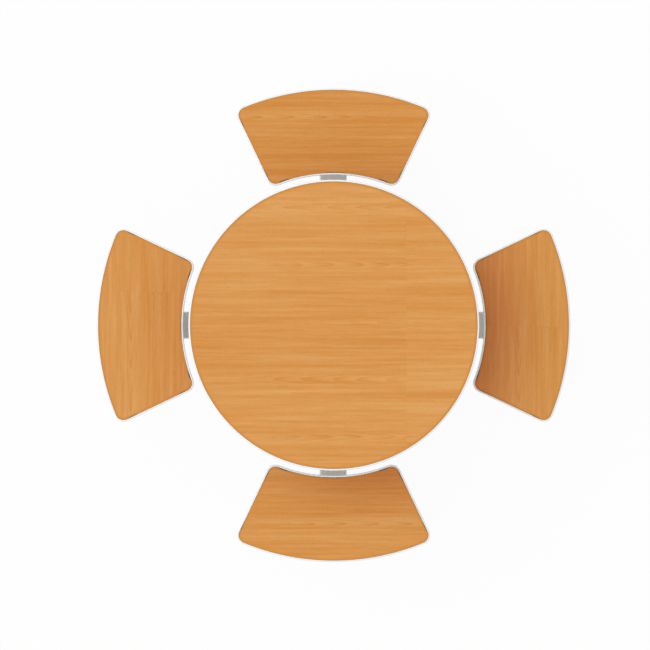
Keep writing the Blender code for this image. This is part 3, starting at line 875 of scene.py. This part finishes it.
FLAT_ANGLE = math.radians(1.0)
SHARP_ANGLE = math.radians(50)
STEEL = "silver_powder_coat"


def eased_copy(node, ease):
    """A node's shape with merged flat faces and its sharp edges rounded."""
    source = frame["nodes"][node].data
    shape = bmesh.new()
    verts = [shape.verts.new(vertex.co) for vertex in source.vertices]
    for polygon in source.polygons:
        shape.faces.new([verts[i] for i in polygon.vertices])
    bmesh.ops.remove_doubles(shape, verts=shape.verts, dist=MERGE)
    bmesh.ops.dissolve_limit(shape, angle_limit=FLAT_ANGLE, verts=shape.verts, edges=shape.edges)
    sharp = [
        edge for edge in shape.edges
        if len(edge.link_faces) == 2 and edge.calc_face_angle() > SHARP_ANGLE
    ]
    bmesh.ops.bevel(
        shape, geom=sharp, offset=ease, segments=2, profile=0.5, affect="EDGES", clamp_overlap=False
    )
    return mesh_from(shape, node)


class BENCHTABLE_OT_steel_frame(bpy.types.Operator):
    """Dresses the column, beams, posts, brackets and pressed plates"""

    bl_idname = "bench_table.steel_frame"
    bl_label = "Steel frame"

    def execute(self, context):
        plate, press = steel_sizes().plate_ease, steel_sizes().press_ease
        jobs = [
            ("centre_column", "column_tube", plate),
            ("column_head_plate", "column_head", plate),
            ("table_spider", "table_spider_pressing", press),
        ]
        for bench in BENCHES:
            jobs += [
                (f"seat_beam_{bench}", f"beam_tube_{bench}", plate / 2),
                (f"seat_post_{bench}", f"post_tube_{bench}", plate / 2),
                (f"beam_bracket_{bench}", f"bracket_{bench}", plate),
                (f"seat_plate_{bench}", f"bench_pan_{bench}", press),
                (f"foot_bar_{bench}", f"cross_bar_{bench}", plate / 2),
            ]
        for node, name, ease in jobs:
            dress(name, eased_copy(node, ease), [STEEL], "frame", "frame_steel", node)
        return {"FINISHED"}


# Weld beads

# Sizes of the steel parts that their boxes don't give
TUBE_CORNER = 0.006
BRACKET_PLATE = 0.008
GUSSET_HALF = 0.003
GUSSET_NOSE = 0.014

BEAD_SIDES = 7
BEAD_RIPPLE = 0.20
BEAD_END = 0.4
BEAD_LAP = 0.0003


def bead_tree():
    """A rippled bead with tapered ends along every path."""
    tree, given, result = geometry_group(
        "weld_bead", {"Radius": "Float", "Pitch": "Float", "Finish": "Material"}
    )
    radius, pitch = given["Radius"], given["Pitch"]
    inputs = {"Curve": given["Geometry"], "Length": pitch / 4.0}
    even = made(tree, "GeometryNodeResampleCurve", inputs, mode="LENGTH")
    along = made(tree, "GeometryNodeSplineParameter", output="Length")
    total = made(tree, "GeometryNodeSplineLength", output="Length")
    ripple = calc("SINE", along / pitch * (2 * math.pi)) * BEAD_RIPPLE + 1.0
    from_end = calc("MINIMUM", along, total - along)
    body = calc("DIVIDE", from_end, radius * 2.0, clamp=True)
    swell = ripple * (body * (1.0 - BEAD_END) + BEAD_END)
    rippled = made(tree, "GeometryNodeSetCurveRadius", {"Curve": even, "Radius": swell})
    ring = made(tree, "GeometryNodeCurvePrimitiveCircle", {"Resolution": BEAD_SIDES, "Radius": radius})
    inputs = {"Curve": rippled, "Profile Curve": ring, "Fill Caps": True}
    close_tree(made(tree, "GeometryNodeCurveToMesh", inputs), given["Finish"], result)
    return tree


def rounded_loop(low, high, height):
    """A path round an upright tube that runs a little over its own start."""
    middle = (low + high) / 2
    reach = (high - low) / 2
    points = []
    for quarter, (sx, sy) in enumerate(((1, 1), (-1, 1), (-1, -1), (1, -1))):
        centre = (middle.x + sx * (reach.x - TUBE_CORNER), middle.y + sy * (reach.y - TUBE_CORNER))
        start = quarter * math.pi / 2
        points += arc(centre, TUBE_CORNER, start, start + math.pi / 2, 4)
    points += points[:3]
    lap = BEAD_LAP / len(points)
    return [(point.x, point.y, height + lap * i) for i, point in enumerate(points)]


def bench_weld_paths():
    """Weld paths of the bench along +X."""
    half, low, high = BEAM_HIGH.y, BEAM_LOW.z, BEAM_HIGH.z
    inner, outer = POST_LOW.x, POST_HIGH.x
    corner, web = TUBE_CORNER, GUSSET_HALF
    plate = PLATE_LOW.x + BRACKET_PLATE
    paths = [[(inner, -half + corner, high), (inner, half - corner, high)]]
    for side in (1, -1):
        y = side * half
        paths += [
            [(inner + corner, y, high - corner), (outer - corner, y, low + corner)],
            [(BAR_LOW.x, y, low), (outer - 2 * corner, y, low)],
            [(plate, y, low + corner), (plate, y, high - corner)],
            [(plate, side * corner, high), (plate, side * (half - corner), high)],
        ]
    bend = arc((PLATE_HIGH.x, 0), web, math.pi / 2, -math.pi / 2, 6)
    toe = [(point.x, point.y, high) for point in bend]
    paths.append([(plate + corner, web, high), *toe, (plate + corner, -web, high)])
    bend = arc((0, PLATE_HIGH.z - GUSSET_NOSE), web, 0.0, math.pi, 6)
    crown = [(plate, point.x, point.y) for point in bend]
    paths.append([(plate, web, high + corner), *crown, (plate, -web, high + corner)])
    paths.append(rounded_loop(POST_LOW, POST_HIGH, POST_HIGH.z))
    return paths


class BENCHTABLE_OT_weld_beads(bpy.types.Operator):
    """Runs weld beads along the joints of the steel frame"""

    bl_idname = "bench_table.weld_beads"
    bl_label = "Weld beads"

    def execute(self, context):
        sizes = steel_sizes()
        paths = [rounded_loop(COLUMN_LOW, COLUMN_HIGH, COLUMN_HIGH.z)]
        for _, turn in bench_turns():
            paths += [[turn @ Vector(point) for point in path] for path in bench_weld_paths()]
        values = {"Radius": sizes.bead_radius, "Pitch": sizes.bead_pitch}
        curve = poly_curve("weld_paths", paths, False)
        mesh = run_tree("weld_beads", curve, bead_tree(), STEEL, values, merge=0.0)
        dress("weld_beads", mesh, [STEEL], "frame", "frame_steel")
        return {"FINISHED"}


# Fasteners

BOLT_SIDES = (0.025, -0.025)
BOLT_RISES = (0.028, 0.086)
HEAD_BOLT_CIRCLE = 0.072
ARM_SCREW_CIRCLES = (0.358, 0.250)
PAN_SCREW_SIDES = (0.052, -0.052)
PAN_SCREW_PLACES = (-0.175, 0.0, 0.175)
PRESSED_SHEET = 0.004
SPIN_SEED = 4
WASHER_EASE = 0.0003
BOLT_EASE, BOLT_FOOT, BOLT_CROWN = 0.16, 0.95, 0.88
WASHER_SIDES, SCREW_SIDES = 24, 16
# Radius and height of rings on a screw's head, then depth and size of the rings of its cross recess
SCREW_DOME = ((1.0, 0.0), (1.0, 0.25), (0.92, 0.62), (0.74, 0.88), (0.55, 1.0))
SCREW_RECESS = ((1.0, 1.0), (0.45, 0.8))
CROSS_ARM, CROSS_WAIST = 0.46, 0.16
ZINC = "zinc_plate"


def scatter_tree():
    """One fastener on every point, its axis along the point's facing, turned by a fixed random angle."""
    tree, given, result = geometry_group("fasteners", {"Fastener": "Object", "Finish": "Material"})
    facing = made(tree, "GeometryNodeInputNamedAttribute", {"Name": "facing"}, data_type="FLOAT_VECTOR")
    upright = made(tree, "FunctionNodeAlignRotationToVector", {"Vector": facing}, axis="Z")
    spread = {"Max": (0.0, 0.0, 2 * math.pi), "Seed": SPIN_SEED}
    spin = made(tree, "FunctionNodeRandomValue", spread, data_type="FLOAT_VECTOR")
    spin = made(tree, "FunctionNodeEulerToRotation", {0: spin})
    turned = made(tree, "FunctionNodeRotateRotation", {0: upright, 1: spin}, rotation_space="LOCAL")
    shape = made(tree, "GeometryNodeObjectInfo", {"Object": given["Fastener"]}, "Geometry")
    inputs = {"Points": given["Geometry"], "Instance": shape, "Rotation": turned}
    close_tree(made(tree, "GeometryNodeInstanceOnPoints", inputs), given["Finish"], result)
    return tree


def points_object(name, places):
    """A mesh of loose points, each with the way its fastener faces."""
    mesh = bpy.data.meshes.new(name)
    mesh.from_pydata([place for place, _ in places], [], [])
    facing = mesh.attributes.new("facing", "FLOAT_VECTOR", "POINT")
    for item, (_, way) in zip(facing.data, places):
        item.vector = way
    return add_object(name, mesh)


def ring_of(radius, height, sides, turn=0.0):
    angles = [turn + 2 * math.pi * i / sides for i in range(sides)]
    return [(radius * math.cos(t), radius * math.sin(t), height) for t in angles]


def stacked(rings):
    """A closed shape from rings of points."""
    shape = bmesh.new()
    layers = [[shape.verts.new(point) for point in ring] for ring in rings]
    skin(shape, layers, [0] * len(layers))
    return shape


def lathed(profile, sides, turn=0.0):
    """A closed turned shape from the radius and height of its rings."""
    return stacked([ring_of(radius, height, sides, turn) for radius, height in profile])


def joined(name, *shapes):
    """One mesh of several closed shapes."""
    first, *others = shapes
    for other in others:
        first.from_mesh(mesh_from(other, name))
    return mesh_from(first, name)


def bolt_shape():
    """Hexagon head with a chamfered top on a plain washer, standing on the XY plane."""
    sizes = steel_sizes()
    corner = sizes.bolt_flats / math.sqrt(3)
    seat, top = sizes.washer_thickness, sizes.washer_thickness + sizes.bolt_height
    ease = sizes.bolt_height * BOLT_EASE
    wide, narrow = sizes.washer_radius, sizes.washer_radius - WASHER_EASE
    head = [
        (corner * BOLT_FOOT, seat), (corner, seat + ease / 2), (corner, top - ease),
        (corner * BOLT_CROWN, top),
    ]
    washer = [(narrow, 0.0), (wide, WASHER_EASE), (wide, seat - WASHER_EASE), (narrow, seat)]
    return joined("bolt", lathed(head, 6), lathed(washer, WASHER_SIDES))


def screw_shape():
    """Domed screw head with a cross recess, standing on the XY plane."""
    sizes = steel_sizes()
    radius, height = sizes.screw_radius, sizes.screw_height
    rings = [ring_of(radius * r, height * z, SCREW_SIDES) for r, z in SCREW_DOME]
    star = [CROSS_ARM if i % 4 == 0 else CROSS_WAIST for i in range(SCREW_SIDES)]
    for depth, size in SCREW_RECESS:
        ring = ring_of(radius * size, height * depth, SCREW_SIDES)
        rings.append([(x * s, y * s, z) for (x, y, z), s in zip(ring, star)])
    return mesh_from(stacked(rings), "screw")


def bolt_places():
    """Bolts of the four brackets, facing away from the column, and of the head plate, facing down."""
    places = []
    face = PLATE_LOW.x + BRACKET_PLATE
    for _, turn in bench_turns():
        for side in BOLT_SIDES:
            for rise in BOLT_RISES:
                place = turn @ Vector((face, side, BEAM_HIGH.z + rise))
                places.append((place, turn @ Vector((1, 0, 0))))
        places.append((turn @ Vector((HEAD_BOLT_CIRCLE, 0, HEAD_LOW.z)), Vector((0, 0, -1))))
    return places


def screw_places():
    """Screws up through the spider's arms and through the bench pans."""
    down = Vector((0, 0, -1))
    places = []
    middle = (PAN_LOW.x + PAN_HIGH.x) / 2
    for _, turn in bench_turns():
        diagonal = turn @ Vector((math.sqrt(0.5), math.sqrt(0.5), 0))
        for circle in ARM_SCREW_CIRCLES:
            places.append((diagonal * circle + Vector((0, 0, SPIDER_HIGH.z - PRESSED_SHEET)), down))
        for across in PAN_SCREW_SIDES:
            for along in PAN_SCREW_PLACES:
                place = turn @ Vector((middle + across, along, PAN_HIGH.z - PRESSED_SHEET))
                places.append((place, down))
    return places


class BENCHTABLE_OT_fasteners(bpy.types.Operator):
    """Sets the bolts and screws"""

    bl_idname = "bench_table.fasteners"
    bl_label = "Bolts and screws"

    def execute(self, context):
        tree = scatter_tree()
        for name, mesh, places in (
            ("frame_bolts", bolt_shape(), bolt_places()),
            ("panel_screws", screw_shape(), screw_places()),
        ):
            fastener = add_object("fastener", mesh)
            points = points_object(name, places)
            heads = run_tree(name, points, tree, ZINC, {"Fastener": fastener})
            bpy.data.objects.remove(fastener)
            dress(name, heads, [ZINC], "frame", "zinc_steel")
        return {"FINISHED"}


# Plastic caps and levelling feet

PLASTIC = "dark_moulded_plastic"
GLIDE_SIDES = 48
HEX_FLATS = 0.017
HEX_HEIGHT = 0.006
HEX_GAP = 0.0003
HEX_CHAMFER = 0.93
STEM_RADIUS = 0.005
STEM_EASE = 0.0006
THREAD_SIDES, THREAD_ROWS = 24, 110


class BENCHTABLE_OT_caps(bpy.types.Operator):
    """Dresses the plastic caps of the column and the cross bars"""

    bl_idname = "bench_table.caps"
    bl_label = "Plastic caps"

    def execute(self, context):
        ease = steel_sizes().cap_ease
        for node in ("column_base_cap", *(f"foot_bar_cap_{foot}" for foot in FEET)):
            dress(f"{node}_moulded", eased_copy(node, ease), [PLASTIC], "frame", "dark_plastic", node)
        return {"FINISHED"}


def glide_shape():
    """Moulded glide: socket and raised boss, dished top, rounded rim and floor face, from the middle out."""
    radius = (GLIDE_HIGH.x - GLIDE_LOW.x) / 2
    top = GLIDE_HIGH.z
    profile = [
        (0.0056, 0.0050), (0.0056, top - 0.0006), (0.0062, top), (0.0092, top), (0.0100, top - 0.0008),
        (0.0104, 0.0098), (0.0125, 0.0082), (0.0180, 0.0068), (0.0205, 0.0060), (radius - 0.0003, 0.0046),
        (radius, 0.0034), (radius, 0.0016), (radius - 0.0004, 0.0006), (radius - 0.0014, 0.0),
        (0.0120, 0.0),
    ]
    return mesh_from(lathed(profile, GLIDE_SIDES), "glide")


def thread_rings(low, high):
    """Rings of a thread that fades out at both ends."""
    sizes = steel_sizes()
    pitch, depth = sizes.thread_pitch, sizes.thread_depth
    circle = ring_of(1.0, 0.0, THREAD_SIDES)
    rings = []
    for row in range(THREAD_ROWS + 1):
        height = low + (high - low) * row / THREAD_ROWS
        fade = max(0.0, min(1.0, (high - height) / pitch, (height - low + STEM_EASE) / pitch))
        ring = []
        for i, (x, y, _) in enumerate(circle):
            phase = (height / pitch - i / THREAD_SIDES) % 1.0
            ridge = 1.0 - abs(2.0 * phase - 1.0)
            radius = STEM_RADIUS - depth + depth * ridge * fade
            ring.append((radius * x, radius * y, height))
        rings.append(ring)
    return rings


def spindle_shape():
    """Threaded spindle with an adjusting hexagon."""
    low, high, ease = STEM_LOW.z, STEM_HIGH.z, STEM_EASE
    hex_low = GLIDE_HIGH.z + HEX_GAP
    hex_high = hex_low + HEX_HEIGHT
    corner = HEX_FLATS / math.sqrt(3)
    plain = [(STEM_RADIUS - ease, low), (STEM_RADIUS, low + ease), (STEM_RADIUS, hex_low + ease)]
    hexagon = [
        (corner * HEX_CHAMFER, hex_low), (corner, hex_low + 2 * ease), (corner, hex_high - 2 * ease),
        (corner * HEX_CHAMFER, hex_high),
    ]
    return joined(
        "spindle", lathed(plain, THREAD_SIDES), lathed(hexagon, 6, math.pi / 6),
        stacked(thread_rings(hex_high - ease, high)),
    )


class BENCHTABLE_OT_levelling_feet(bpy.types.Operator):
    """Makes the glides and their threaded spindles, each on its own body"""

    bl_idname = "bench_table.levelling_feet"
    bl_label = "Levelling feet"

    def execute(self, context):
        glide, spindle = glide_shape(), spindle_shape()
        for foot in FEET:
            low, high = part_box(f"foot_pad_{foot}")
            shift = Matrix.Translation(((low.x + high.x) / 2, (low.y + high.y) / 2, 0.0))
            for shape, label, node, finish, slot in (
                (glide, "glide", "foot_pad", PLASTIC, "dark_plastic"),
                (spindle, "spindle", "foot_spindle", ZINC, "zinc_steel"),
            ):
                mesh = shape.copy()
                mesh.transform(shift)
                dress(f"{label}_{foot}", mesh, [finish], f"{node}_{foot}", slot, f"{node}_{foot}")
        bpy.data.meshes.remove(glide)
        bpy.data.meshes.remove(spindle)
        return {"FINISHED"}


# Stage

WHITE = (1.0, 1.0, 1.0, 1.0)
FLOOR_GREY = (0.86, 0.86, 0.86, 1.0)
KEY_HEIGHT = 4.0
SENSOR_WIDTH = 36.0
VIEW_DEPTH = 100.0


def seen_rays(tree):
    """Rays from the camera, and those that show a surface: from the camera, mirrored or through glass."""
    path = wire(tree, "ShaderNodeLightPath")
    names = ("Is Camera Ray", "Is Glossy Ray", "Is Transmission Ray")
    camera, mirrored, through = (Value(path.outputs[name]) for name in names)
    return camera, calc("MAXIMUM", calc("MAXIMUM", camera, mirrored), through)


def emptied(block):
    """The node tree of a material or world, without nodes."""
    block.use_nodes = True
    block.node_tree.nodes.clear()
    return block.node_tree


def floor_material():
    """Pale floor: white to the camera with a share of real shading, plain diffuse to the rest.

    From below it is clear, so that the undersides can be seen.
    """
    material = bpy.data.materials.new("pale_floor")
    tree = emptied(material)
    camera, seen = seen_rays(tree)
    real = made(tree, "ShaderNodeBsdfDiffuse", {"Color": FLOOR_GREY})
    white = made(tree, "ShaderNodeEmission", {"Color": WHITE, "Strength": 1.0})
    factor = seen * (1.0 - stage_settings().floor_shadow)
    mixed = made(tree, "ShaderNodeMixShader", {0: factor, 1: real, 2: white})
    below = made(tree, "ShaderNodeNewGeometry", output="Backfacing") * camera
    clear = made(tree, "ShaderNodeBsdfTransparent")
    sided = made(tree, "ShaderNodeMixShader", {0: below, 1: mixed, 2: clear})
    wire(tree, "ShaderNodeOutputMaterial", {"Surface": sided}).is_active_output = True
    return material


def white_world(strength):
    """Even light, white to the camera and in reflections."""
    world = bpy.data.worlds.new("white_studio")
    tree = emptied(world)
    _, seen = seen_rays(tree)
    level = seen * (1.0 - strength) + strength
    light = made(tree, "ShaderNodeBackground", {"Color": WHITE, "Strength": level})
    wire(tree, "ShaderNodeOutputWorld", {"Surface": light})
    bpy.context.scene.world = world


class BENCHTABLE_OT_stage(bpy.types.Operator):
    """Sets the floor, the light and the camera that looks straight down"""

    bl_idname = "bench_table.stage"
    bl_label = "Stage"

    def execute(self, context):
        settings = stage_settings()
        scene = context.scene
        scene.view_settings.view_transform = "Standard"
        shape = bmesh.new()
        bmesh.ops.create_grid(shape, x_segments=1, y_segments=1, size=settings.floor_size)
        floor = add_object("floor", mesh_from(shape, "floor"))
        floor.location.z = CAD_BOX[0].z - settings.floor_drop
        floor.data.materials.append(floor_material())
        white_world(settings.sky_strength)
        lamp = bpy.data.lights.new("key", "SUN")
        lamp.angle = settings.key_angle
        lamp.energy = settings.key_strength
        key = add_object("key", lamp)
        key.location.z = KEY_HEIGHT
        key.rotation_euler = (0.0, settings.key_lean, settings.key_bearing)
        lens = bpy.data.cameras.new("camera")
        lens.sensor_width = SENSOR_WIDTH
        lens.lens = settings.focal_length
        lens.clip_end = VIEW_DEPTH
        camera = add_object("camera", lens)
        camera.location = (settings.camera_x, settings.camera_y, TABLE_HIGH.z + settings.camera_height)
        scene.camera = camera
        return {"FINISHED"}


class BENCHTABLE_PT_sidebar(bpy.types.Panel):
    """Lists the pieces of the table"""

    bl_idname = "BENCHTABLE_PT_sidebar"
    bl_label = "Round bench table"
    bl_space_type = "VIEW_3D"
    bl_region_type = "UI"
    bl_category = "Bench table"

    def draw(self, context):
        for operator in OPERATORS:
            self.layout.operator(operator.bl_idname)
        for settings, _ in SETTINGS:
            group = getattr(context.scene, settings)
            box = self.layout.box()
            for name in group.bl_rna.properties.keys():
                if name not in ("rna_type", "name"):
                    box.prop(group, name)


SETTINGS = (
    ("bench_table_panels", PanelSizes),
    ("bench_table_steel", SteelSizes),
    ("bench_table_finishes", FinishColours),
    ("bench_table_stage", StageSettings),
)
OPERATORS = (
    BENCHTABLE_OT_panels,
    BENCHTABLE_OT_edging,
    BENCHTABLE_OT_steel_frame,
    BENCHTABLE_OT_weld_beads,
    BENCHTABLE_OT_fasteners,
    BENCHTABLE_OT_caps,
    BENCHTABLE_OT_levelling_feet,
    BENCHTABLE_OT_stage,
)


def register():
    for name, group in SETTINGS:
        bpy.utils.register_class(group)
        setattr(bpy.types.Scene, name, bpy.props.PointerProperty(type=group))
    for cls in (*OPERATORS, BENCHTABLE_PT_sidebar):
        bpy.utils.register_class(cls)


def unregister():
    for cls in reversed((*OPERATORS, BENCHTABLE_PT_sidebar)):
        bpy.utils.unregister_class(cls)
    for name, group in reversed(SETTINGS):
        delattr(bpy.types.Scene, name)
        bpy.utils.unregister_class(group)


def main():
    register()
    make_finishes()
    bpy.ops.bench_table.panels()
    bpy.ops.bench_table.edging()
    bpy.ops.bench_table.steel_frame()
    bpy.ops.bench_table.weld_beads()
    bpy.ops.bench_table.fasteners()
    bpy.ops.bench_table.caps()
    bpy.ops.bench_table.levelling_feet()
    bpy.ops.bench_table.stage()


if __name__ == "__main__":
    main()
